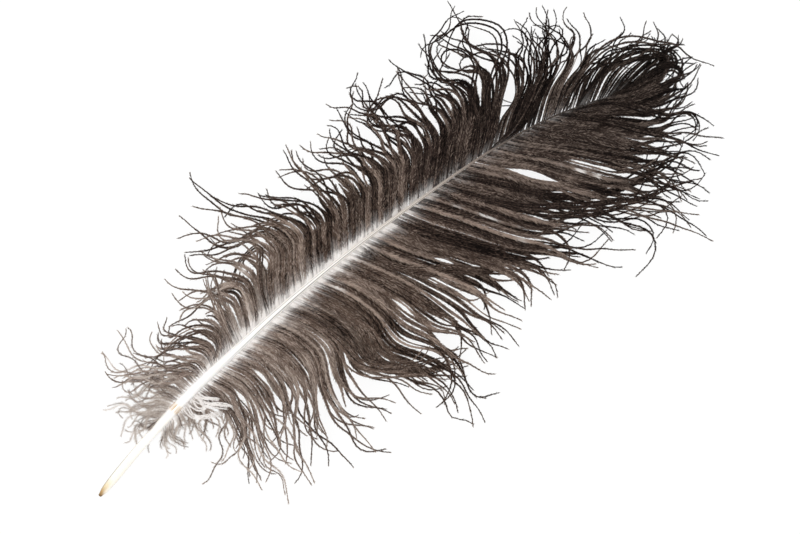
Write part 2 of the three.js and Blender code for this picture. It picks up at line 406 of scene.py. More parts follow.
@dataclass(frozen=True)
class DownFinish:
    """Downy feather keratin: thin dark barbs in matt fuzz, whose pigment deepens towards the plume's tip.

    Near the shaft the barbs are unpigmented, so each starts almost white. Neighbouring barbs differ
    from near black to beige, partly in their own tone and partly by painted highlight on raised tufts
    and painted shade between them, which the eye reads as streaks, and all darken towards their ends.
    """

    name: str = "downy_feather_keratin"
    dark: tuple = ((0.0, "60534c"), (0.12, "3a2f2a"), (0.35, "18110e"), (0.6, "0f0a09"), (1.0, "080606"))
    middle: tuple = (
        (0.0, "afa298"), (0.12, "867469"), (0.35, "625147"), (0.6, "453832"), (0.8, "3a2f2a"),
        (1.0, "261f1b"),
    )
    light: tuple = (
        (0.0, "d6cdc5"), (0.12, "c6b9af"), (0.35, "b09e91"), (0.6, "9d8b7f"), (0.8, "908177"),
        (1.0, "6a5d55"),
    )
    root: str = "f1edea"
    roughness: float = 0.8
    specular: float = 0.06

    def make(self) -> bpy.types.Material:
        """Build the material.

        The strand attribute holds how pale a point is for being near the shaft, the barb's tone there,
        painted highlight and shade included, and how far out along a barbule it is. The place attribute
        holds the root's station along the shaft, how far past the closed vane's edge a point is and the
        shade of its barbule's end, which on a web is a painted shade on its edges.

        Returns:
            The material.
        """
        settings = {"Roughness": self.roughness, "Specular IOR Level": self.specular}
        material, shader = principled(self.name, settings)
        tree = material.node_tree
        strand = add(tree, "Attribute", attribute_name="strand").outputs["Vector"]
        pale, tone, reach = add(tree, "SeparateXYZ", {0: strand}).outputs
        place = add(tree, "Attribute", attribute_name="place").outputs["Vector"]
        station, past, shade = add(tree, "SeparateXYZ", {0: place}).outputs

        inks = (self.dark, self.middle, self.light)
        ramps = [add(tree, "ValToRGB", {"Fac": station}, stops) for stops in inks]
        dark, middle, light = (ramp.outputs["Color"] for ramp in ramps)
        toned = painted(tree, dark, ((middle, ((tone, 0.05, 0.4),)), (light, ((tone, 0.45, 1.15),))))
        ends = painted(tree, dark, ((middle, ((shade, 0.0, 0.5),)), (light, ((shade, 0.6, 1.25),))))
        inner = add(tree, "Math", {0: 0.75, 1: reach}, operation="SUBTRACT", use_clamp=True).outputs[0]
        loose = add(tree, "Math", {0: past, 1: inner}, operation="MULTIPLY").outputs[0]
        layers = (
            (ends, ((reach, 0.1, 0.6),)),
            (dark, ((station, 0.05, 0.34, 0.0, loose),)),
            (self.root, ((tone, 1.3, 1.6, pale, 1.0),)),
        )
        tree.links.new(painted(tree, toned, layers), shader.inputs["Base Color"])
        return material


@dataclass(frozen=True)
class ShaftFinish:
    """Horny keratin of the shaft: ivory and satin at the quill, white above, dark at the plume's tip.

    A line of painted shade runs along the groove on each side of the ridge, stronger on one side, and a
    dull brownish painted shade darkens the quill's two side edges, far more on one side.
    """

    name: str = "horny_feather_keratin"
    along: tuple = (
        (0.0, "6e5230"), (0.007, "b08a54"), (0.018, "e3d2ad"), (0.035, "f7f3e9"), (0.16, "fdfbf6"),
        (0.2, "fefdfb"), (0.5, "f2ede7"), (0.62, "d6cdc4"), (0.74, "92867d"), (0.86, "463d38"),
        (1.0, "211c1a"),
    )
    horn: str = "fbf6ea"
    streaks: str = "8d8074"
    # painted shade in the grooves beside the ridge, then painted shade along the quill's two side edges
    line: str = "3a332f"
    edge_shade: str = "6f6250"
    ring: str = "c79a4e"
    roughness: float = 0.38
    specular: float = 0.2
    scattered: float = 0.1
    scattering_radius: tuple = (0.002, 0.0015, 0.001)

    def make(self) -> bpy.types.Material:
        """Build the material from the shaft's own map: u along it, v round it from its right edge.

        Returns:
            The material.
        """
        settings = {
            "Roughness": self.roughness,
            "Specular IOR Level": self.specular,
            "Subsurface Weight": self.scattered,
            "Subsurface Radius": self.scattering_radius,
        }
        material, shader = principled(self.name, settings)
        tree = material.node_tree
        uv = add(tree, "UVMap", uv_map="OFBake").outputs["UV"]
        u, v, _ = add(tree, "SeparateXYZ", {0: uv}).outputs
        stretched = add(tree, "Mapping", {"Vector": uv, "Scale": (9.0, 60.0, 1.0)}).outputs[0]
        streak = add(tree, "TexNoise", {"Vector": stretched, "Scale": 1.0, "Detail": 3.0}).outputs["Fac"]
        from_side = add(tree, "Math", {0: v, 1: 0.25}, operation="PINGPONG").outputs[0]
        span = {"Value": u, "From Min": 0.3, "From Max": 0.55, "To Min": 0.15, "To Max": 0.192}
        groove = add(tree, "MapRange", span, interpolation_type="SMOOTHSTEP").outputs["Result"]
        away = add(tree, "Math", {0: from_side, 1: groove}, operation="SUBTRACT").outputs[0]
        from_groove = add(tree, "Math", {0: away}, operation="ABSOLUTE").outputs[0]
        # how strong the painted groove shade and the painted edge shade are on each side of the shaft's top
        groove_shade_side, edge_shade_side = ((v, 0.24, 0.26, *given) for given in ((0.55, 0.95), (0.8, 0.15)))
        layers = (
            (self.horn, ((v, 0.2, 0.42), (u, 0.002, 0.012), (u, 0.05, 0.08, 1.0, 0.0))),
            (self.streaks, ((streak, 0.45, 0.8, 0.0, 0.12),)),
            # painted shade: a dark line in each groove, then a dark band along the quill's side edges
            (self.line, ((from_groove, 0.006, 0.026, 1.0, 0.0), (u, 0.24, 0.4), groove_shade_side)),
            (self.edge_shade, ((from_side, 0.05, 0.13, 1.0, 0.0), (u, 0.02, 0.14, 1.0, 0.0), edge_shade_side)),
            (self.ring, ((u, 0.166, 0.172), (u, 0.178, 0.186, 1.0, 0.0), (streak, 0.42, 0.54, 0.0, 0.9))),
        )
        along = add(tree, "ValToRGB", {"Fac": u}, self.along).outputs["Color"]
        tree.links.new(painted(tree, along, layers), shader.inputs["Base Color"])
        bump = add(tree, "Bump", {"Height": streak, "Strength": 0.15, "Distance": 0.0002})
        tree.links.new(bump.outputs["Normal"], shader.inputs["Normal"])
        return material


# ---------------------------------------------------------------------------------------------
# The feather
# ---------------------------------------------------------------------------------------------

STATION_SPAN = (60.0, 445.0)
STRAY_EDGE = 0.85
SAMPLES = 34


@dataclass(frozen=True)
class Shaft:
    """Bare quill and tapering rachis: an oval that carries a raised ridge along its upper face."""

    rings: int = 220
    around: int = 24
    flatness: float = 0.88
    ridge: float = 0.16
    stations: Array = field(default_factory=lambda: np.array(SHAFT_STATIONS, float))

    def route(self, count: int) -> Array:
        """Evenly spaced points x, y, z and width along the shaft."""
        return smooth_route(self.stations, count)

    def at(self, x: Array) -> Array:
        """Middle point and width of the shaft at each x, as x, y, z, width."""
        route = self.route(400)
        return np.stack([x, *(np.interp(x, route[:, 0], route[:, k]) for k in (1, 2, 3))], -1)

    def sheet(self) -> Sheet:
        """Sweep the section along the route.

        At angle a the section is half a width times (cos a, flatness times sin a), and the ridge adds a
        narrow bump where a is a quarter turn, which grows along the shaft as the quill narrows into it.

        Returns:
            The mesh.
        """
        route = self.route(self.rings)
        centre, width = route[:, :3], route[:, 3:]
        forward = unit(np.gradient(centre, axis=0))
        across = unit(np.cross((0, 0, 1.0), forward))
        upward = np.cross(forward, across)
        angle = np.linspace(0, 2 * np.pi, self.around, endpoint=False)
        share = np.linspace(0, 1, self.rings)[:, None]
        crest = np.exp(-(((angle - np.pi / 2) / 0.32) ** 2))[None, :]
        ridge = self.ridge * crest * smoothstep(0.14, 0.3, share)
        narrowed = 0.6 + 0.4 * smoothstep(0.0, 0.012, share)
        out = width / 2 * np.cos(angle) * narrowed
        rise = width / 2 * (self.flatness * np.sin(angle) + ridge)
        points = centre[:, None] + out[..., None] * across[:, None] + rise[..., None] * upward[:, None]
        ring, side = np.meshgrid(np.arange(self.rings - 1), np.arange(self.around), indexing="ij")
        beside = (side + 1) % self.around
        here = ring * self.around
        there = here + self.around
        quads = np.stack([there + side, there + beside, here + beside, here + side], -1).reshape(-1, 4)
        along = np.stack([ring, ring, ring + 1, ring + 1], -1) / (self.rings - 1)
        around = np.stack([side, side + 1, side + 1, side], -1) / self.around
        uv = np.stack([along, around], -1).reshape(-1, 4, 2)[:, ::-1]
        first = np.arange(self.around)
        last = first[::-1] + (self.rings - 1) * self.around
        out_uv, up_uv = 0.003 * np.cos(angle), 0.5 + 0.4 * np.sin(angle)
        ends = [np.stack([at + out_uv, up_uv], -1) for at in (0.003, 0.997)]
        count = self.rings * self.around
        return Sheet(
            points.reshape(-1, 3),
            np.concatenate([quads.ravel(), first, last]),
            np.r_[np.full(len(quads), 4), self.around, self.around],
            np.concatenate([uv.reshape(-1, 2), *ends]),
            np.zeros((count, 3)),
            np.zeros((count, 3)),
        )


@dataclass(frozen=True)
class Lay:
    """Courses of a set of barbs, one entry each, with what sets how they look."""

    strands: Array
    roots: Array
    tones: Array
    reaches: Array
    edges: Array
    fuzz: Array
    pale_lengths: Array
    local: Array

    def where(self, chosen: Array) -> "Lay":
        """Only the chosen barbs."""
        return Lay(*(getattr(self, entry.name)[chosen] for entry in fields(self)))


@dataclass(frozen=True)
class Growth:
    """How one vane's barbs grow along the shaft, as (x of the root, value) pairs.

    edge is the share of a lock's length at which the closed vane ends, waviness how far the loose ends
    swing beyond it in radians, pale how far the barbs stay pale from the shaft in millimetres, fuzz the
    length of their barbules against a full one, tone how much lighter they are than the common run, and
    reach the share of a lock's length that the longest barbs cover.
    """

    edge: tuple
    waviness: tuple
    pale: tuple
    fuzz: tuple
    tone: tuple
    reach: tuple = ((60, 1.02), (445, 1.02))

    def at(self, name: str, x: Array) -> Array:
        """Value of one of them at each x."""
        return np.interp(x, *np.array(getattr(self, name)).T)


LEFT_GROWTH = Growth(
    edge=(
        (60, 0.32), (110, 0.42), (150, 0.55), (190, 0.42), (215, 0.38), (245, 0.46), (265, 0.43), (300, 0.5),
        (330, 0.55), (350, 0.46), (390, 0.46), (420, 0.48), (445, 0.7),
    ),
    waviness=((60, 0.5), (130, 0.3), (230, 0.3), (260, 0.65), (390, 0.7), (430, 0.3)),
    pale=(
        (60, 1.5), (100, 3.5), (130, 6.5), (160, 8), (200, 6), (250, 4.5), (290, 4), (340, 5), (390, 6),
        (445, 5),
    ),
    fuzz=(
        (60, 0.8), (80, 0.8), (95, 0.5), (110, 0.7), (125, 1), (325, 1), (345, 0.6), (425, 0.52), (445, 0.7),
    ),
    tone=(
        (60, 0.35), (90, 0.45), (110, 0.45), (135, 0.5), (165, 0.38), (200, 0.1), (216, 0.02), (240, 0.12),
        (262, -0.08), (292, -0.05), (330, 0.05), (356, -0.05), (384, 0.25), (445, 0.1),
    ),
    reach=(
        (60, 1.02), (180, 1.02), (200, 0.95), (220, 0.97), (240, 0.92), (260, 0.93), (285, 1.0), (335, 1.02),
        (350, 0.89), (390, 0.84), (415, 1.02),
    ),
)
RIGHT_GROWTH = Growth(
    edge=(
        (60, 0.35), (100, 0.45), (135, 0.45), (150, 0.52), (165, 0.68), (185, 0.63), (210, 0.7), (232, 0.7),
        (250, 0.84), (270, 0.78), (292, 0.55), (320, 0.48), (340, 0.62), (365, 0.6), (445, 0.75),
    ),
    waviness=((60, 0.5), (100, 0.3), (300, 0.22), (360, 0.36), (445, 0.3)),
    pale=(
        (60, 4), (100, 3.5), (130, 5), (160, 7), (220, 6.5), (260, 5), (290, 5), (340, 6), (380, 4), (445, 3),
    ),
    fuzz=((60, 0.65), (100, 0.8), (125, 1), (445, 1)),
    tone=(
        (60, 0.6), (85, 0.5), (110, 0.35), (130, 0.3), (160, 0.42), (190, 0.32), (220, 0.28), (240, 0.38),
        (262, 0.36), (290, 0.22), (325, 0.45), (350, 0.25), (370, 0.35), (400, 0.08), (445, 0.2),
    ),
)


@dataclass(frozen=True)
class Stray:
    """Lock that lies across the others: root x, plan route, number of barbs and their darkest tone.

    spread is half its width and fuzz the length of its barbules against a full one.
    """

    root: float
    route: tuple
    count: int
    tone: float
    spread: float = 2.2
    fuzz: float = 0.55
    rise: float = 3.0


LEFT_STRAYS = (
    Stray(353, ((370, 33), (394, 46), (408, 60), (421, 75), (432, 86)), 6, 0.0, 3.0, 0.35),
    Stray(345, ((362, 35), (388, 49), (401, 63), (409, 78), (414, 90)), 5, 0.0, 3.0, 0.35),
    Stray(306, ((318, 47), (330, 56), (345, 59), (360, 58), (377, 60)), 7, 0.0, 2.6, 0.5),
    Stray(132, ((136, 45), (139, 60), (142, 77)), 5, 0.8, 1.9, 0.35),
    Stray(138, ((142, 46), (145, 62), (148, 80)), 4, 0.8, 1.6, 0.35),
    Stray(161, ((170, 50), (178, 62), (183, 70), (172, 71), (160, 67), (150, 66)), 5, 0.2, 2.0, 0.4),
    Stray(112, ((126, 38), (122, 47), (110, 52), (92, 52), (70, 52)), 4, 0.3, 1.8, 0.35),
    Stray(104, ((98, 29), (86, 33), (76, 44), (62, 52), (50, 56)), 4, 0.3, 2.4, 0.4),
    Stray(330, ((346, 50), (352, 72), (345, 92), (352, 112), (366, 113), (382, 110)), 2, 0.1, 1.0, 0.4),
    Stray(284, ((296, 50), (303, 70), (296, 90), (300, 108), (312, 109), (320, 113)), 2, 0.1, 1.0, 0.4),
    Stray(396, ((416, 35), (438, 39), (458, 33), (474, 19), (480, 7), (472, -4)), 4, 0.1, 5.5, 0.5),
    Stray(408, ((428, 29), (450, 30), (470, 21), (480, 9), (472, -2)), 6, 0.0, 5.0, 0.5),
    Stray(
        338,
        (
            (352, 46), (361, 61), (376, 73), (390, 81), (395, 92), (388, 105), (376, 113), (362, 114),
            (351, 111), (346, 102),
        ),
        2, 0.05, 1.6, 0.5,
    ),
    Stray(
        326, ((345, 54), (358, 72), (369, 86), (366, 98), (356, 102), (348, 97), (349, 88)), 2, 0.05, 1.3, 0.5
    ),
)
RIGHT_STRAYS = (
    Stray(316, ((335, 12), (352, -8), (372, -24), (395, -36), (420, -42), (452, -44)), 8, 0.0, 4.0, 0.6),
    Stray(302, ((322, 8), (342, -14), (366, -32), (390, -45), (412, -57), (438, -68)), 7, 0.0, 4.0, 0.6),
    Stray(190, ((200, 10), (207, -14), (206, -34), (212, -50), (226, -61), (250, -66)), 9, 0.1, 5.0, 0.8),
    Stray(172, ((183, 12), (190, -10), (192, -28), (205, -44), (222, -54), (244, -65)), 7, 0.1, 6.0, 0.5),
    Stray(90, ((94, 10), (100, 3), (109, -7), (113, -15), (117, -22)), 3, 2.2, 0.8, 0.35, 6.0),
    Stray(82, ((84, 6), (93, 0), (102, -3), (108, -3), (114, -8)), 3, 2.2, 0.8, 0.35, 7.0),
    Stray(91, ((93, 12), (92, 7), (87, 3), (84, 0)), 3, 2.2, 0.8, 0.35, 5.0),
    Stray(92, ((96, 13), (101, 8), (106, 2), (112, -10)), 3, 2.2, 0.8, 0.35, 7.0),
    Stray(86, ((90, 8), (100, 5), (108, -5), (103, -12)), 2, 2.2, 0.5, 0.35, 7.0),
    Stray(100, ((104, 4), (104, -11), (101, -24), (98, -35), (90, -45), (83, -49)), 5, 0.15, 2.0, 0.5),
    Stray(238, ((248, 8), (262, -6), (280, -18), (296, -32), (311, -45)), 6, 0.25, 3.5, 0.8),
    Stray(425, ((446, 12), (462, 12), (474, 7), (477, -2), (470, -9)), 6, 0.0, 4.0, 0.6),
    Stray(405, ((425, 12), (440, -4), (451, -17), (465, -24), (471, -35), (472, -42)), 5, 0.1, 1.8, 0.5),
    Stray(392, ((415, 4), (432, -16), (446, -32), (458, -44), (470, -48)), 4, 0.1, 1.8, 0.5),
    Stray(355, ((370, 12), (392, -8), (412, -30), (426, -52), (446, -62), (453, -58)), 3, 0.1, 3.0, 0.45),
)


@dataclass(frozen=True)
class Slit:
    """Long gap between neighbouring barbs: plan points of its two ends and half its width."""

    start: tuple
    end: tuple
    half: float


@dataclass(frozen=True)
class Streak:
    """Lighter or darker band of the vane: plan points of its two ends, half its width and change of tone."""

    start: tuple
    end: tuple
    half: float
    light: float


LEFT_SLITS = (
    Slit((180, 64), (180, 54), 0.4),
    Slit((216, 66), (221, 52), 0.3),
    Slit((262, 58), (266, 72), 0.3),
    Slit((310, 62), (317, 76), 0.7),
    Slit((319, 60), (328, 78), 0.9),
    Slit((358, 44), (388, 70), 3.2),
    Slit((398, 42), (420, 54), 0.3),
    Slit((407, 38), (436, 49), 0.3),
    Slit((419, 34), (456, 42), 0.4),
    Slit((428, 28), (464, 34), 0.5),
    Slit((439, 22), (470, 25), 0.3),
)
LEFT_STREAKS = (
    Streak((176, 74), (180, 48), 3.0, 0.7),
    Streak((217, 68), (223, 46), 2.0, 0.6),
    Streak((164, 72), (167, 54), 2.0, 0.6),
    Streak((197, 66), (203, 46), 2.0, 0.4),
    Streak((184, 70), (190, 54), 2.5, -0.6),
    Streak((160, 64), (165, 48), 2.5, -0.5),
    Streak((203, 66), (207, 48), 2.0, -0.5),
    Streak((152, 62), (150, 48), 3.5, -1.1),
    Streak((240, 84), (246, 62), 3.0, -0.7),
    Streak((322, 66), (335, 84), 3.0, -0.6),
    Streak((222, 72), (234, 50), 3.5, -0.5),
    Streak((252, 50), (268, 72), 4.5, -0.6),
    Streak((236, 56), (248, 76), 4.0, -0.5),
    Streak((220, 62), (232, 80), 3.5, -0.5),
    Streak((151, 44), (158, 62), 4.0, -0.6),
    Streak((92, 20), (97, 36), 6.0, -0.5),
    Streak((400, 36), (440, 50), 1.2, 0.5),
    Streak((412, 32), (450, 42), 1.2, 0.5),
    Streak((424, 28), (460, 34), 1.2, 0.5),
)
RIGHT_SLITS = (
    Slit((112, 9), (119, -12), 0.4),
    Slit((130, 11), (137, -8), 0.5),
    Slit((195, 18), (203, -6), 0.5),
    Slit((222, -26), (239, -53), 0.6),
    Slit((234, -7), (241, -26), 0.3),
    Slit((246, -30), (259, -52), 0.9),
    Slit((258, -8), (269, -23), 0.4),
    Slit((273, 0), (280, -14), 0.3),
    Slit((269, -33), (284, -55), 1.0),
    Slit((345, 18), (366, -12), 1.7),
    Slit((354, -8), (370, -23), 0.9),
    Slit((379, 1), (393, -18), 0.3),
    Slit((391, -11), (403, -30), 0.4),
)
RIGHT_STREAKS = (
    Streak((306, 24), (334, -15), 2.5, 0.8),
    Streak((331, -10), (354, -34), 2.5, 0.6),
    Streak((309, 6), (322, -22), 2.8, 0.8),
    Streak((319, -17), (342, -42), 2.5, 0.7),
    Streak((326, 29), (346, 3), 1.4, 0.8),
    Streak((333, 25), (349, 6), 1.2, 0.5),
    Streak((359, 31), (386, -2), 1.5, 0.9),
    Streak((377, 0), (394, -24), 2.6, 0.8),
    Streak((387, 0), (398, -14), 1.6, 0.7),
    Streak((212, 26), (224, 4), 1.6, 0.6),
    Streak((225, 6), (228, -14), 2.0, 0.5),
    Streak((216, -2), (218, -26), 3.0, -0.3),
    Streak((178, 4), (184, -14), 3.0, 0.5),
    Streak((300, -20), (318, -44), 3.5, 0.3),
    Streak((242, 12), (254, -10), 1.8, 0.5),
    Streak((316, 12), (345, -16), 3.5, -0.6),
    Streak((288, -4), (318, -24), 3.5, -0.5),
    Streak((352, 10), (372, -15), 3.0, -0.6),
    Streak((372, -15), (400, -40), 3.5, -0.6),
    Streak((394, 12), (412, 0), 4.0, -0.4),
    Streak((156, 14), (168, -4), 5.0, -0.4),
    Streak((343, -12), (367, -28), 3.2, -0.6),
    Streak((374, -13), (393, -40), 4.0, -0.6),
    Streak((355, 22), (373, -10), 3.0, -0.5),
    Streak((262, 8), (277, -18), 3.0, -0.6),
    Streak((194, -34), (228, -56), 4.0, -0.5),
    Streak((190, 18), (193, -8), 2.0, -0.4),
    Streak((124, 8), (127, -20), 3.5, -0.4),
    Streak((146, 14), (156, -12), 2.8, -0.5),
    Streak((162, 22), (171, 2), 2.8, -0.5),
    Streak((167, -12), (163, -34), 3.0, -0.5),
)


@dataclass(frozen=True)
class Vane:
    """One side's barbs. Each follows the locks beside its root, in a tuft with two or three neighbours.

    seat is how far from the shaft's middle they are rooted, as a share of its width. Spacings and widths
    are in millimetres, curl in radians.
    """

    side: Side
    locks: tuple
    strays: tuple
    slits: tuple
    streaks: tuple
    shaft: Shaft
    seed: int
    growth: Growth
    first_root: float = 60.0
    last_root: float = 443.0
    barb_spacing: float = 1.45
    tuft_spacing: float = 3.4
    tuft_half_width: float = 2.3
    seat: float = 0.42
    curl: float = 0.6
    mottles: int = 110
    mottle_strength: float = 0.28
    streak_strength: float = 0.7

    def line(self, root: float, route: tuple, order: int, rise: float = 0.0) -> Array:
        """Lay out the middle line of a lock.

        Args:
            root: x of its root on the shaft.
            route: its plan route from there.
            order: its number, which sets how high it rises and where its tip lies.
            rise: how much more its middle is lifted.

        Returns:
            Samples of the line, the same distance apart.
        """
        start = self.shaft.at(np.array([root]))[0, :3]
        plan = np.array([start[:2], *route], float)
        walked = np.r_[0, np.cumsum(np.linalg.norm(np.diff(plan, axis=0), axis=1))]
        share = walked / walked[-1]
        lift = rise + min(LOCK_LIFTS[order % len(LOCK_LIFTS)], walked[-1] / LENGTH_TO_MOST_LIFT)
        tip = min(TIP_HEIGHTS[order % len(TIP_HEIGHTS)], start[2])
        fall = start[2] + (tip - start[2]) * smoothstep(0, 1, share)
        height = np.maximum(fall + 4 * lift * share * (1 - share), 0.8)
        return smooth_route(np.column_stack([plan, height]), SAMPLES)

    def guides(self) -> tuple[Array, Array]:
        """Lay out the locks' middle lines.

        Returns:
            x of the locks' roots on the shaft, and the samples of each lock's line.
        """
        shift = 0 if self.side is Side.LEFT else len(LEFT_LOCKS)
        lines = [self.line(lock[0], lock[1:], order) for order, lock in enumerate(self.locks, shift)]
        return np.array([lock[0] for lock in self.locks], float), np.stack(lines)

    def across(self, lines: Array) -> Array:
        """Unit plan directions square to the lines, towards the plume's tip."""
        forward = unit(np.gradient(lines, axis=1) * (1, 1, 0))
        return np.stack([forward[..., 1], -forward[..., 0], forward[..., 2]], -1) * self.side.value

    def courses(self, at: Array) -> Array:
        """Lay out lines between the locks' own.

        Args:
            at: x of their roots on the shaft.

        Returns:
            Lines between those of the two locks beside each root, nearer to the closer one outwards.
        """
        roots, lines = self.guides()
        before = np.clip(np.searchsorted(roots, at) - 1, 0, len(roots) - 2)
        part = np.clip((at - roots[before]) / (roots[before + 1] - roots[before]), -0.5, 1.5)
        outward = 0.5 * smoothstep(0.4, 0.9, np.linspace(0, 1, SAMPLES))
        weight = (part[:, None] + (np.round(part) - part)[:, None] * outward)[..., None]
        return lines[before] * (1 - weight) + lines[before + 1] * weight

    def lay(self) -> Lay:
        """Lay out every barb of the vane.

        Returns:
            The barbs, the strays last.
        """
        draw = np.random.default_rng(self.seed)
        strays = [self.stray(stray, order, draw) for order, stray in enumerate(self.strays)]
        downy = np.arange(self.first_root, 118, 2.0)
        roots = np.concatenate([np.arange(self.first_root, self.last_root, self.barb_spacing), downy])
        roots = np.sort(roots + draw.uniform(-0.5, 0.5, len(roots)) * self.barb_spacing)
        count = len(roots)
        share = np.linspace(0, 1, SAMPLES)

        tufts = np.arange(self.first_root, self.last_root + self.tuft_spacing, self.tuft_spacing)
        tufts = np.sort(tufts + draw.uniform(-0.35, 0.35, len(tufts)) * self.tuft_spacing)
        lines = self.courses(tufts)
        own = np.abs((roots + draw.normal(0, 0.8, count))[:, None] - tufts).argmin(1)
        rank = np.clip((roots - tufts[own]) / self.tuft_spacing * 2, -1.4, 1.4) + draw.normal(0, 0.35, count)
        half = self.tuft_half_width * (1 - 0.52 * smoothstep(0.35, 0.9, share))
        held = lines[own] + self.across(lines)[own] * (rank[:, None] * half)[..., None]
        free = self.courses(roots)
        grip = 0.72 * smoothstep(0.15, 0.7, share) - 0.15 * smoothstep(0.8, 1.0, share)
        paths = free + (held - free) * grip[None, :, None]
        crest = np.exp(-((rank / 0.6) ** 2))
        paths[..., 2] += (1.8 * crest - 0.6 + draw.normal(0, 0.6, count))[:, None] * np.sin(np.pi * share)
        paths, local = self.marked(paths, roots, draw)

        edges = self.growth.at("edge", roots)
        reaches = edges + (self.growth.at("reach", roots) - edges) * draw.random(count) ** 0.65
        bright = draw.uniform(0.5, 1.25, len(tufts))[own]
        # painted highlight: barbs in a tuft's raised middle get lighter tone by the crest term, which leaves
        # its flanks as painted shade; the beta draw is each barb's own tone
        tones = 0.3 * crest * bright + 0.8 * draw.beta(0.45, 0.8, count) + self.growth.at("tone", roots) - 0.1
        fuzz = self.growth.at("fuzz", roots) * draw.uniform(0.8, 1.15, count)
        barbs = Lay(paths, roots, tones, reaches, edges, fuzz, self.growth.at("pale", roots), local)
        return end_to_end([self.finished(barbs, own, draw), *strays])

    def marked(self, paths: Array, roots: Array, draw: np.random.Generator) -> tuple[Array, Array]:
        """Open the slits between the barbs, and work out where the vane's tone is raised or lowered.

        A mark's ends are looked up among the vane's courses. Beside a slit a barb moves by the slit's
        half width and a little for its barbules, eased over the slit's length and by a bell over the
        roots beside it. Chance mottles are added to the named streaks as elongated bells.

        Args:
            paths: full courses, barb by sample by axis.
            roots: x of the roots along the shaft.
            draw: source of chance.

        Returns:
            The moved courses, and at each sample how far the barbules are shortened and the change of tone.
        """
        tried = np.arange(self.first_root, self.last_root, 1.0)
        courses = self.courses(tried)
        share = np.linspace(0, 1, SAMPLES)
        moved = np.zeros(paths.shape[:2])
        narrowing = np.zeros(paths.shape[:2])
        beside = draw.uniform(self.first_root, self.last_root, self.mottles)
        along = draw.uniform(0.1, 1, self.mottles)
        wide = draw.uniform(1.0, 3.2, self.mottles)
        long = draw.uniform(0.1, 0.32, self.mottles)
        strength = draw.normal(0, self.mottle_strength, self.mottles)
        sideways = np.exp(-(((roots[:, None] - beside) / wide) ** 2)) * strength
        tone = sideways @ np.exp(-(((share[:, None] - along) / long) ** 2)).T
        for mark in (*self.slits, *self.streaks):
            ends = np.array([mark.start, mark.end], float)
            away = np.linalg.norm(courses[None, ..., :2] - ends[:, None, None], axis=-1)
            course, sample = np.unravel_index(away.reshape(2, -1).argmin(1), away.shape[1:])
            order = np.argsort(sample)
            low, high = share[sample[order]]
            from_line = roots[:, None] - np.interp(share, (low, high + 0.01), tried[course[order]])
            opened = np.sin(np.pi * np.clip((share - low) / max(high - low, 0.08), 0, 1))
            if isinstance(mark, Streak):
                bell = np.exp(-((from_line / mark.half) ** 2))
                tone = tone + self.streak_strength * mark.light * bell * opened
                continue
            from_slit = roots - tried[course].mean()
            push = np.sign(from_slit) * (mark.half + 0.3) * np.exp(-((from_slit / 5) ** 2))
            moved += push[:, None] * opened**1.5
            beside_it = np.exp(-((from_slit / 2.5) ** 2))[:, None] * opened
            narrowing = np.maximum(narrowing, beside_it)
            tone = tone + 0.3 * beside_it
        return paths + self.across(paths) * moved[..., None], np.stack([narrowing, tone], -1)

    def stray(self, stray: Stray, order: int, draw: np.random.Generator) -> Lay:
        """Lay out the barbs of a lock that lies across the others.

        Args:
            stray: the lock.
            order: its number among the strays.
            draw: source of chance.

        Returns:
            Its barbs.
        """
        count = stray.count
        line = self.line(stray.root, stray.route, order, stray.rise)
        rank = np.linspace(-1, 1, count) + draw.normal(0, 0.25, count)
        share = np.linspace(0, 1, SAMPLES)
        width = stray.spread * (0.6 + 0.4 * np.cos(2 * np.pi * share) ** 2)
        offset = (rank[:, None] * width)[..., None]
        paths = line[None] + self.across(line[None]) * offset
        roots = stray.root + rank * 2.0
        reaches = 1 - 0.25 * draw.random(count) ** 2
        tones = stray.tone + draw.uniform(0, 0.4, count)
        edges, fuzz = np.full(count, STRAY_EDGE), np.full(count, stray.fuzz)
        plain = np.zeros((count, SAMPLES, 2))
        barbs = Lay(paths, roots, tones, reaches, edges, fuzz, self.growth.at("pale", roots), plain)
        return self.finished(barbs, np.zeros(count, int), draw)

    def finished(self, lay: Lay, own: Array, draw: np.random.Generator) -> Lay:
        """Root the barbs on the shaft, cut them to their reach, make them swing and vary their pale length.

        Args:
            lay: the barbs on their full courses.
            own: the tuft that each barb hangs in.
            draw: source of chance.

        Returns:
            The barbs.
        """
        count = len(lay.roots)
        share = np.linspace(0, 1, SAMPLES)
        start = self.shaft.at(lay.roots)
        sideways = start[:, 3] * self.seat * self.side.value
        start = start[:, :3] + np.column_stack([np.zeros(count), sideways, np.zeros(count)])
        paths = lay.strands + (start - lay.strands[:, 0])[:, None] * ((1 - share) ** 3)[None, :, None]
        reaches = np.clip(lay.reaches, 0.2, 1.0)
        index = np.repeat(np.arange(count), SAMPLES)
        covered = (reaches[:, None] * share).ravel()
        strands = along_strands(paths, index, covered)[0].reshape(count, SAMPLES, 3)
        local = along_strands(lay.local, index, covered)[0].reshape(count, SAMPLES, 2)
        cut = replace(lay, strands=strands, reaches=reaches, local=local)
        swung = self.swung(cut, own, draw)
        return replace(cut, strands=swung, pale_lengths=cut.pale_lengths * draw.uniform(0.55, 1.4, count))

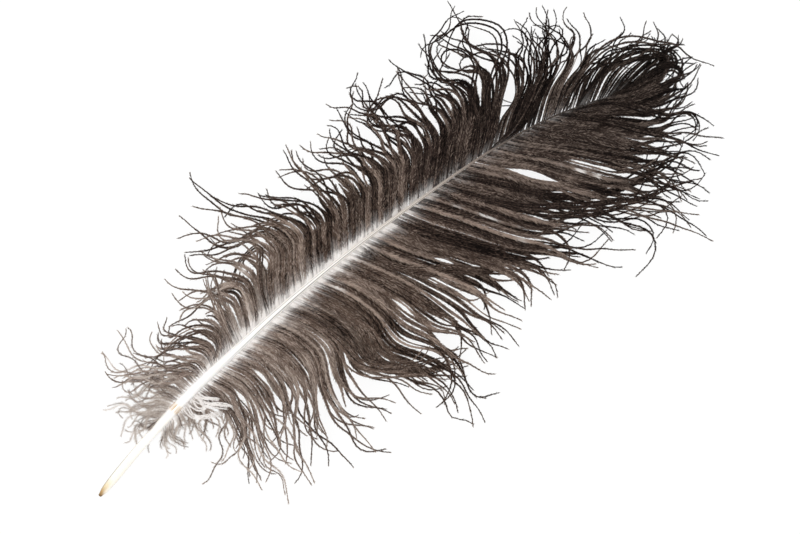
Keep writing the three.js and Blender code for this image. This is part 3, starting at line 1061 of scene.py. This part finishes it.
    def swung(self, lay: Lay, own: Array, draw: np.random.Generator) -> Array:
        """Turn each barb's steps by a swing that starts near the closed vane's edge.

        The turn is the waviness times the sum of a long and a short sine of the distance walked, which
        barbs of one tuft share in part, plus a steady drift, all eased in across the edge, plus a curl
        eased in over the last fifth. In the down at the base a third sine swings the whole barb.

        Args:
            lay: the barbs, cut to their reach.
            own: the tuft that each barb hangs in.
            draw: source of chance.

        Returns:
            The swung strands.
        """
        paths, roots = lay.strands, lay.roots
        count = len(paths)
        steps = np.diff(paths, axis=1)
        share = np.linspace(0, 1, SAMPLES - 1)[None, :]
        walked = np.cumsum(np.linalg.norm(steps, axis=2), axis=1)
        loose = smoothstep(-0.2, 0.12, share * lay.reaches[:, None] - lay.edges[:, None])
        waviness = self.growth.at("waviness", roots)[:, None] * draw.uniform(0.4, 1.3, (count, 1))
        phase = draw.uniform(0, 2 * np.pi, (3, own.max() + 1))[:, own] + draw.normal(0, 0.6, (3, count))
        short, long = np.array([[34], [16], [16]]), np.array([[68], [30], [34]])
        period = draw.uniform(short, long, (3, count))[..., None]
        swings = np.sin(2 * np.pi * walked / period + phase[..., None])
        drift = draw.normal(0, 0.14, own.max() + 1)[own] + draw.normal(0, 0.16, count)
        turn = loose * (waviness * (swings[0] + 0.4 * swings[1]) + drift[:, None])
        turn = turn + draw.normal(0, self.curl, (count, 1)) * smoothstep(0.78, 1.0, share)
        downy = (1 - smoothstep(82, 122, roots)) * (lay.edges < STRAY_EDGE)
        turn = turn + 0.62 * (downy[:, None] * smoothstep(0.05, 0.4, share)) * swings[2]
        cos, sin = np.cos(turn), np.sin(turn)
        steps = steps * (1 + 0.14 * loose)[..., None]
        turned = np.stack(
            [
                steps[..., 0] * cos - steps[..., 1] * sin,
                steps[..., 0] * sin + steps[..., 1] * cos,
                steps[..., 2] + draw.normal(0, 0.08, (count, 1)) * loose,
            ],
            -1,
        )
        laid = np.concatenate([paths[:, :1], paths[:, :1] + np.cumsum(turned, axis=1)], axis=1)
        laid[..., 2] = np.maximum(laid[..., 2], 0.5)
        return laid


@dataclass(frozen=True)
class Barbs:
    """Meshes of a set of barbs: a thin tapering rib each, the web of matted down beside it, and barbules.

    Most methods take points as an index, the barb each is on, and a share, how far along it from 0 to 1.
    """

    lay: Lay
    seed: int
    rib_radius: float = 0.36
    tip_radius: float = 0.22
    web_width: float = 1.2
    barbule_spacing: float = 0.34
    barbule_length: float = 3.2
    loose_barbule_share: float = 0.75
    barbule_width: float = 0.22
    lean_deg: float = 30.0
    lean_spread_deg: float = 7.0
    tilt_spread_deg: float = 28.0
    # darkening of tone that paints shade on barbs set between their neighbours
    gap_shade_darkening: float = 0.3
    lowest: float = 0.05

    def lengths(self) -> Array:
        """Length of each barb, in millimetres."""
        return np.linalg.norm(np.diff(self.lay.strands, axis=1), axis=2).sum(1)

    def past_edge(self, index: Array, share: Array) -> Array:
        """How far past the closed vane's edge a point is, from 0 well inside it to 1 outside."""
        return smoothstep(-0.12, 0.14, share * self.lay.reaches[index] - self.lay.edges[index])

    def fuzziness(self, index: Array, share: Array) -> Array:
        """Length of the barbules against a full one: the barb's own in the closed vane, more outside it."""
        return self.lay.fuzz[index] + 0.7 * (1 - self.lay.fuzz[index]) * self.past_edge(index, share)

    def spared(self, index: Array, share: Array) -> Array:
        """Share of the barbules' length that is left at points beside a slit."""
        return 1 - 0.6 * along_strands(self.lay.local, index, share)[0][:, 0]

    def in_gap_shade(self, index: Array) -> Array:
        """Whether a barb is one of those painted darker as shade between their neighbours, chosen by its
        tone.
        """
        return np.modf(np.abs(self.lay.tones[index]) * 3.1)[0] > 0.45

    def paleness(self, index: Array, share: Array) -> Array:
        """How pale points are for being near the shaft.

        Over the barb's pale length it eases from near white to a trace, which ends at 2.4 such lengths.
        Both are fainter towards the plume's tip, and on barbs painted dark as shade between their neighbours.

        Args:
            index: the barb each point is on.
            share: how far along it.

        Returns:
            The paleness, up to 1.
        """
        roots = self.lay.roots[index]
        walked = share * self.lengths()[index] / np.maximum(self.lay.pale_lengths[index], 0.3)
        near = (1 - smoothstep(0.45, 1.0, walked)) * (0.72 - 0.66 * smoothstep(230, 330, roots))
        trace = (1 - smoothstep(0.5, 2.4, walked)) * (0.32 - 0.21 * smoothstep(260, 345, roots))
        return (1 - self.in_gap_shade(index) * (0.2 + 0.65 * smoothstep(220, 300, roots))) * (near + trace)

    def tone(self, index: Array, share: Array) -> Array:
        """Tone of points: the barb's, the place's, a wave along the barb that its tone sets off, and painted
        shade on barbs set between their neighbours.

        Args:
            index: the barb each point is on.
            share: how far along it.

        Returns:
            The tone, from dark at 0 to light at 1 and white above that.
        """
        own = self.lay.tones[index]
        period = 12 + 20 * np.modf(np.abs(own) * 13.7)[0]
        wave = 0.15 * np.sin(2 * np.pi * share * self.lengths()[index] / period + 97 * own)
        local = along_strands(self.lay.local, index, share)[0][:, 1]
        # painted shade: barbs chosen as lying between their neighbours are darkened
        return own + wave - self.gap_shade_darkening * self.in_gap_shade(index) + local

    def place(self, index: Array, share: Array, shade: Array) -> Array:
        """Gather the place values of points.

        Args:
            index: the barb each point is on.
            share: how far along it.
            shade: the shade of the barbule's end, or on a web the painted shade of its edges.

        Returns:
            The root's station along the shaft, how far past the edge the point is, and the shade.
        """
        first, last = STATION_SPAN
        station = np.clip((self.lay.roots[index] - first) / (last - first), 0, 1)
        return np.stack([station, self.past_edge(index, share), shade], -1)

    def samples(self) -> tuple[Array, Array]:
        """Index and share of every sample of the strands."""
        count, samples = self.lay.strands.shape[:2]
        return np.repeat(np.arange(count), samples), np.tile(np.linspace(0, 1, samples), count)

    def swept(self, points: Array, across: tuple, slant: float, strand: Array, place: Array) -> Sheet:
        """Mesh of rows of three points along every strand.

        Args:
            points: strand by sample by three points, on a tube if slant isn't 0 and else on a strip.
            across: where the three lie across the strand's own band of the map.
            slant: how far along the map the middle one is set.
            strand: strand values of the points, one a row.
            place: place values of the samples, one a row.

        Returns:
            The mesh, with end caps on a tube.
        """
        count, samples = points.shape[:2]
        closed = slant != 0
        ranges = (np.arange(count), np.arange(samples - 1), np.arange(3 if closed else 2))
        barb, step, side = np.meshgrid(*ranges, indexing="ij")
        here = (barb * samples + step) * 3
        beside = (side + 1) % 3
        quads = np.stack([here + side, here + beside, here + 3 + beside, here + 3 + side], -1).reshape(-1, 4)
        root_ring = np.arange(count)[:, None] * samples * 3 + np.array([2, 1, 0])
        tip_ring = root_ring[:, ::-1] + (samples - 1) * 3
        caps = np.concatenate([root_ring, tip_ring]) if closed else root_ring[:0]
        corners = np.concatenate([quads.ravel(), caps.ravel()])
        u = 0.01 + 0.98 * np.linspace(0, 1, samples)[None, :, None] + np.array([0.0, slant, 0.0])
        v = (np.arange(count)[:, None, None] + np.array(across)) / count
        point_uv = np.stack(np.broadcast_arrays(u, v), -1).reshape(-1, 2)
        sides = np.r_[np.full(len(quads), 4), np.full(len(caps), 3)]
        place = np.repeat(place, 3, axis=0)
        return Sheet(points.reshape(-1, 3), corners, sides, point_uv[corners], strand, place)

    def ribs(self) -> Sheet:
        """Sweep three-sided tubes whose radius runs from rib_radius at the shaft to tip_radius.

        Returns:
            The mesh.
        """
        strands = self.lay.strands
        forward = unit(np.gradient(strands, axis=1))
        across = unit(np.cross(forward, (0, 0, 1.0)))
        upward = np.cross(across, forward)
        radius = self.rib_radius - self.tip_radius
        radius = self.tip_radius + radius * (1 - np.linspace(0, 1, strands.shape[1])) ** 0.8
        radius = radius * (0.65 + 0.35 * smoothstep(75, 110, self.lay.roots))[:, None]
        angle = 2 * np.pi * np.arange(3) / 3 + np.pi / 2
        ring = across[:, :, None] * np.cos(angle)[:, None] + upward[:, :, None] * np.sin(angle)[:, None]
        points = strands[:, :, None] + ring * radius[..., None, None]

        index, shares = self.samples()
        # painted shade twice over on the ribs of those barbs, with most of their paleness gone, so they show
        # as dark threads
        in_gap_shade = self.in_gap_shade(index)
        pale = self.paleness(index, shares) * (1 - 0.6 * in_gap_shade * smoothstep(0.01, 0.06, shares))
        tone = self.tone(index, shares) - self.gap_shade_darkening * in_gap_shade
        strand = np.repeat(np.stack([pale, tone, np.zeros(len(index))], -1), 3, axis=0)
        return self.swept(points, (0.05, 0.25, 0.45), 0.004, strand, self.place(index, shares, 0 * shares))

    def webs(self) -> Sheet:
        """Lay strips of matted down, a shallow roof over each rib that thins towards the root and the tip,
        its edges painted darker as shade between the barbs.

        Returns:
            The mesh.
        """
        strands = self.lay.strands
        across = unit(np.cross(unit(np.gradient(strands, axis=1)), (0, 0, 1.0)))
        index, shares = self.samples()
        pale, tone = self.paleness(index, shares), self.tone(index, shares)
        # painted shade: the web's edges take the end colour at a low shade, dark between barbs and less so on
        # light barbs
        place = self.place(index, shares, 0.1 + 0.4 * (tone > 0.6))
        closed = 1 - 0.55 * place[:, 1]
        matted = smoothstep(88, 130, self.lay.roots[index])
        grown = (0.75 + 0.25 * smoothstep(0.0, 0.14, shares)) * (1 - 0.6 * smoothstep(0.8, 1.0, shares))
        half = self.web_width * grown * closed * self.spared(index, shares) * (0.35 + 0.65 * matted)
        half = (half * np.clip(self.fuzziness(index, shares), 0.3, 1)).reshape(*strands.shape[:2], 1)
        drop = np.array([0, 0, 1.0]) * (0.1 + 0.3 * half)
        middle = strands - (0, 0, 0.1)
        points = np.stack([strands - across * half - drop, middle, strands + across * half - drop], 2)
        points[..., 2] = np.maximum(points[..., 2], self.lowest)
        reach = np.tile([0.45, 0.1, 0.45], len(index))
        strand = np.column_stack([np.repeat(pale, 3), np.repeat(tone, 3), reach])
        return self.swept(points, (0.46, 0.48, 0.5), 0.0, strand, place)

    def barbules(self) -> Sheet:
        """Set bent two-triangle blades, one to each side every barbule_spacing, leaning to the barb's tip.

        A blade's length grows over the first tenth of the barb and falls past the closed vane's edge.

        Returns:
            The mesh.
        """
        draw = np.random.default_rng(self.seed)
        lengths = self.lengths()
        each = (lengths / self.barbule_spacing).astype(int)
        index = np.repeat(np.arange(len(each)), each)
        rank = np.arange(len(index)) - np.repeat(np.cumsum(each) - each, each)
        share = (rank + draw.random(len(index))) / each[index]
        index, share = np.tile(index, 2), np.tile(share, 2)
        side = np.repeat([1.0, -1.0], len(index) // 2)
        root, forward = along_strands(self.lay.strands, index, share)
        across = unit(np.cross(forward, (0, 0, 1.0)))
        upward = np.cross(across, forward)
        tone = self.tone(index, share)
        place = self.place(index, share, 0.85 * draw.random(len(share)) + 0.6 * tone)
        station, past, _ = place.T

        downy = 1 - smoothstep(0.03, 0.13, station)
        lean = self.lean_deg + 16 * downy - 9 * share - 5 * past
        lean = np.radians(lean + draw.normal(0, self.lean_spread_deg, len(share)))
        tilt = np.radians(draw.normal(0, self.tilt_spread_deg, len(share)))
        outward = across * (side * np.cos(tilt))[:, None] + upward * np.sin(tilt)[:, None]
        away = forward * np.cos(lean)[:, None] + outward * np.sin(lean)[:, None]
        beside = unit(forward - away * (forward * away).sum(1)[:, None])
        at_root = 0.45 + 0.3 * smoothstep(0.3, 0.75, station)
        grown = at_root + (1 - at_root) * smoothstep(0.01, 0.12, share)
        length = self.barbule_length * grown * (1 - (1 - self.loose_barbule_share) * past)
        length = length * self.fuzziness(index, share) * (1 - 0.3 * smoothstep(0.7, 1.0, share))
        length = length * self.spared(index, share)
        length = (length * draw.uniform(0.6, 1.25, len(share)))[:, None]
        half = self.barbule_width * (0.45 + 0.55 * smoothstep(0.0, 0.16, station)) * (1 - 0.3 * past)
        half = (half * draw.uniform(0.7, 1.2, len(share)))[:, None]
        middle = root + away * length * 0.45
        drift = draw.normal(0, 0.08, (len(share), 3)) * length
        tip = root + away * length + forward * 0.15 * length + drift
        points = np.stack([root, middle - beside * half, middle + beside * half, tip], 1)
        points[..., 2] = np.maximum(points[..., 2], self.lowest)

        first = np.arange(len(share)) * 4
        corners = (first[:, None] + np.array([0, 1, 2, 1, 3, 2])).ravel()
        along = 0.01 + 0.98 * share[:, None]
        step = (half / lengths[index][:, None]).clip(0.001, 0.009)
        u = np.clip(np.concatenate([along, along - step, along + step, along], 1), 0, 1)
        v = (index[:, None] + np.array([0.52, 0.7, 0.7, 0.95])) / len(lengths)
        point_uv = np.stack([u, v], -1).reshape(-1, 2)
        values = (self.paleness(index, share)[:, None], tone[:, None], np.array([[0.05, 0.5, 0.5, 1.0]]))
        strand = np.stack(np.broadcast_arrays(*values), -1).reshape(-1, 3)
        sides = np.full(len(share) * 2, 3)
        place = np.repeat(place, 4, axis=0)
        return Sheet(points.reshape(-1, 3), corners, sides, point_uv[corners], strand, place)


@dataclass(frozen=True)
class Feather:
    """The whole feather in place of its solid."""

    shaft: Shaft
    vanes: tuple

    @staticmethod
    def quill_end() -> Array:
        """Find the quill's end in the solid.

        Returns:
            The middle of its ring in the row frame, in metres, as the shift from the plan's zero.
        """
        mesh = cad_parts[NODE].data
        points = np.empty(len(mesh.vertices) * 3)
        mesh.vertices.foreach_get("co", points)
        points = points.reshape(-1, 3)
        ring = points[points[:, 0] < points[:, 0].min() + 2 * MM]
        middle = np.unique(ring.round(6), axis=0).mean(0)
        return middle - np.array([0, 0, SHAFT_STATIONS[0][2] * MM])

    def build(self) -> list[bpy.types.Object]:
        """Make, dress and seat every piece.

        Returns:
            The pieces.
        """
        origin = self.quill_end()
        down = DownFinish().make()
        made = [self.seated(self.shaft.sheet(), "shaft", origin, ShaftFinish().make(), "quill")]
        for vane in self.vanes:
            lay = vane.lay()
            for order, band in enumerate(Band):
                chosen = (lay.roots >= band.value[0]) & (lay.roots < band.value[1])
                barbs = Barbs(lay.where(chosen), vane.seed * 10 + order)
                sheet = Sheet.joined([barbs.ribs(), barbs.webs(), barbs.barbules()])
                name = f"{vane.side.name.lower()}_vane_{band.name.lower()}"
                made.append(self.seated(sheet, name, origin, down, "barbs"))
        return made

    @staticmethod
    def seated(
        sheet: Sheet, name: str, origin: Array, material: bpy.types.Material, slot: str
    ) -> bpy.types.Object:
        """Put one piece in the scene, riding the body in place of the solid.

        Args:
            sheet: its mesh.
            name: its name.
            origin: the quill's end in the row frame, in metres.
            material: its finish.
            slot: quill or barbs, which sets smooth shading for the quill only.

        Returns:
            The piece.
        """
        piece = sheet.to_object(name, origin, smooth=slot == "quill")
        piece.data.materials.append(material)
        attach(piece, BODY)
        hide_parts(NODE)
        log.info("%s: %d triangles", name, sheet.triangles())
        return piece


# ---------------------------------------------------------------------------------------------
# Studio
# ---------------------------------------------------------------------------------------------


@dataclass(frozen=True)
class Studio:
    """Pale floor, soft overhead light, and a camera that looks straight down on the feather."""

    view_centre_mm: tuple = (250.5, 5.65)
    view_width_mm: float = 528.0
    view_turn_deg: float = -36.0
    lens_mm: float = 85.0
    sensor_mm: float = 36.0
    focus_height_mm: float = 10.0
    floor_size: float = 8.0

    def floor(self) -> None:
        """Plain pale floor, faintly self-lit so that it stays white under the feather's own shade."""
        half = self.floor_size / 2
        mesh = bpy.data.meshes.new("floor")
        corners = [(-half, -half, 0), (half, -half, 0), (half, half, 0), (-half, half, 0)]
        mesh.from_pydata(corners, [], [(0, 1, 2, 3)])
        floor = bpy.data.objects.new("floor", mesh)
        bpy.context.scene.collection.objects.link(floor)
        settings = {
            "Base Color": linear("5a5a59"),
            "Roughness": 0.9,
            "Emission Color": linear("ffffff"),
            "Emission Strength": 0.9,
        }
        mesh.materials.append(principled("pale_floor_paint", settings)[0])

    def lights(self) -> None:
        """Even white surroundings and one large soft lamp above, a little to the upper left."""
        world = bpy.data.worlds.new("studio")
        bpy.context.scene.world = world
        world.use_nodes = True
        background = world.node_tree.nodes["Background"]
        background.inputs["Color"].default_value = linear("ffffff")
        background.inputs["Strength"].default_value = 1.0
        lamp = bpy.data.lights.new("softbox", "AREA")
        lamp.size = 1.2
        lamp.energy = 7.0
        softbox = bpy.data.objects.new("softbox", lamp)
        softbox.location = (-0.5, 0.6, 1.3)
        x, y, z = softbox.location
        softbox.rotation_euler = (math.atan2(math.hypot(x, y), z), 0, math.atan2(x, -y))
        bpy.context.scene.collection.objects.link(softbox)

    def camera(self, origin: Array) -> None:
        """Set the camera, turned so that the plume runs from lower left to upper right.

        Args:
            origin: the quill's end in the row frame, in metres.
        """
        data = bpy.data.cameras.new("camera")
        data.lens = self.lens_mm
        data.sensor_width = self.sensor_mm
        height = self.view_width_mm * self.lens_mm / self.sensor_mm + self.focus_height_mm
        camera = bpy.data.objects.new("camera", data)
        camera.location = np.array([*self.view_centre_mm, height]) * MM + origin
        camera.rotation_euler = (0, 0, math.radians(self.view_turn_deg))
        bpy.context.scene.collection.objects.link(camera)
        bpy.context.scene.camera = camera

    def build(self, origin: Array) -> None:
        """Set the stage, the light and the camera.

        Args:
            origin: the quill's end in the row frame, in metres.
        """
        bpy.context.scene.view_settings.view_transform = "Standard"
        self.floor()
        self.lights()
        self.camera(origin)


def main() -> None:
    """Build the feather and its studio, and log how many pieces it has."""
    logging.basicConfig(level=logging.INFO, format="%(name)s %(message)s")
    shaft = Shaft()
    left = Vane(Side.LEFT, LEFT_LOCKS, LEFT_STRAYS, LEFT_SLITS, LEFT_STREAKS, shaft, 11, LEFT_GROWTH)
    right = Vane(Side.RIGHT, RIGHT_LOCKS, RIGHT_STRAYS, RIGHT_SLITS, RIGHT_STREAKS, shaft, 23, RIGHT_GROWTH)
    vanes = (left, right)
    pieces = Feather(shaft, vanes).build()
    log.info("%d pieces", len(pieces))
    Studio().build(Feather.quill_end())


if __name__ == "__main__":
    main()
